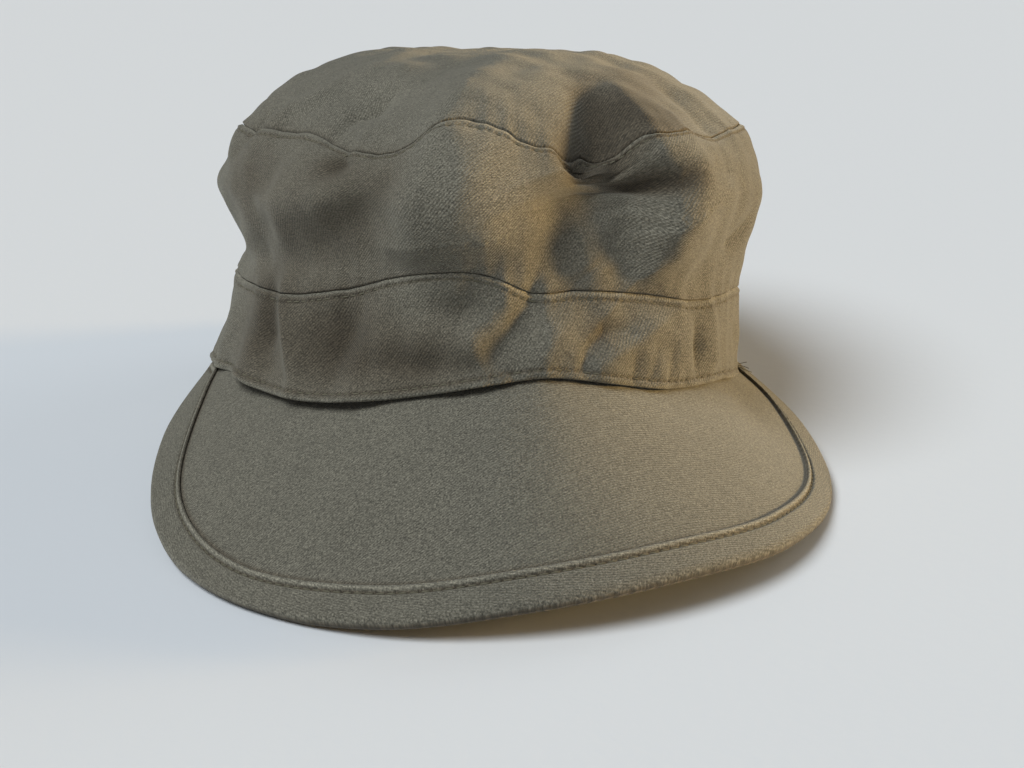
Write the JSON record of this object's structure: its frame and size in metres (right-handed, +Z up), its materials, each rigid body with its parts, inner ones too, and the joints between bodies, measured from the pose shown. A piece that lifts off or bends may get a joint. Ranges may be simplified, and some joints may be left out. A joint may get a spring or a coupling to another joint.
{
  "type": "field cap",
  "caption": "Soft cotton twill field cap with a domed top, a full side wall, a plain head band and a wide bound peak, lying on its hem.",
  "frame": {"origin": "centre of the bounding box, on the surface that the cap lies on", "axes": "+Y towards the back of the cap, +X to the right as seen from its front, +Z up from the surface"},
  "size_m": [0.1902, 0.276, 0.1165],
  "materials": {
    "twill_top": "washed olive-grey cotton twill, matt",
    "twill_side": "washed olive-grey cotton twill, matt, crumpled",
    "twill_band": "washed olive-grey cotton twill in two layers, matt",
    "twill_peak": "olive-grey cotton twill over a thin stiffener, matt",
    "twill_border": "folded strip of olive-grey cotton twill, topstitched, matt"
  },
  "bodies": {
    "root": {"crown_top": "twill_top", "crown_side": "twill_side", "head_band": "twill_band", "peak": "twill_peak", "peak_border": "twill_border"}
  },
  "joints": []
}
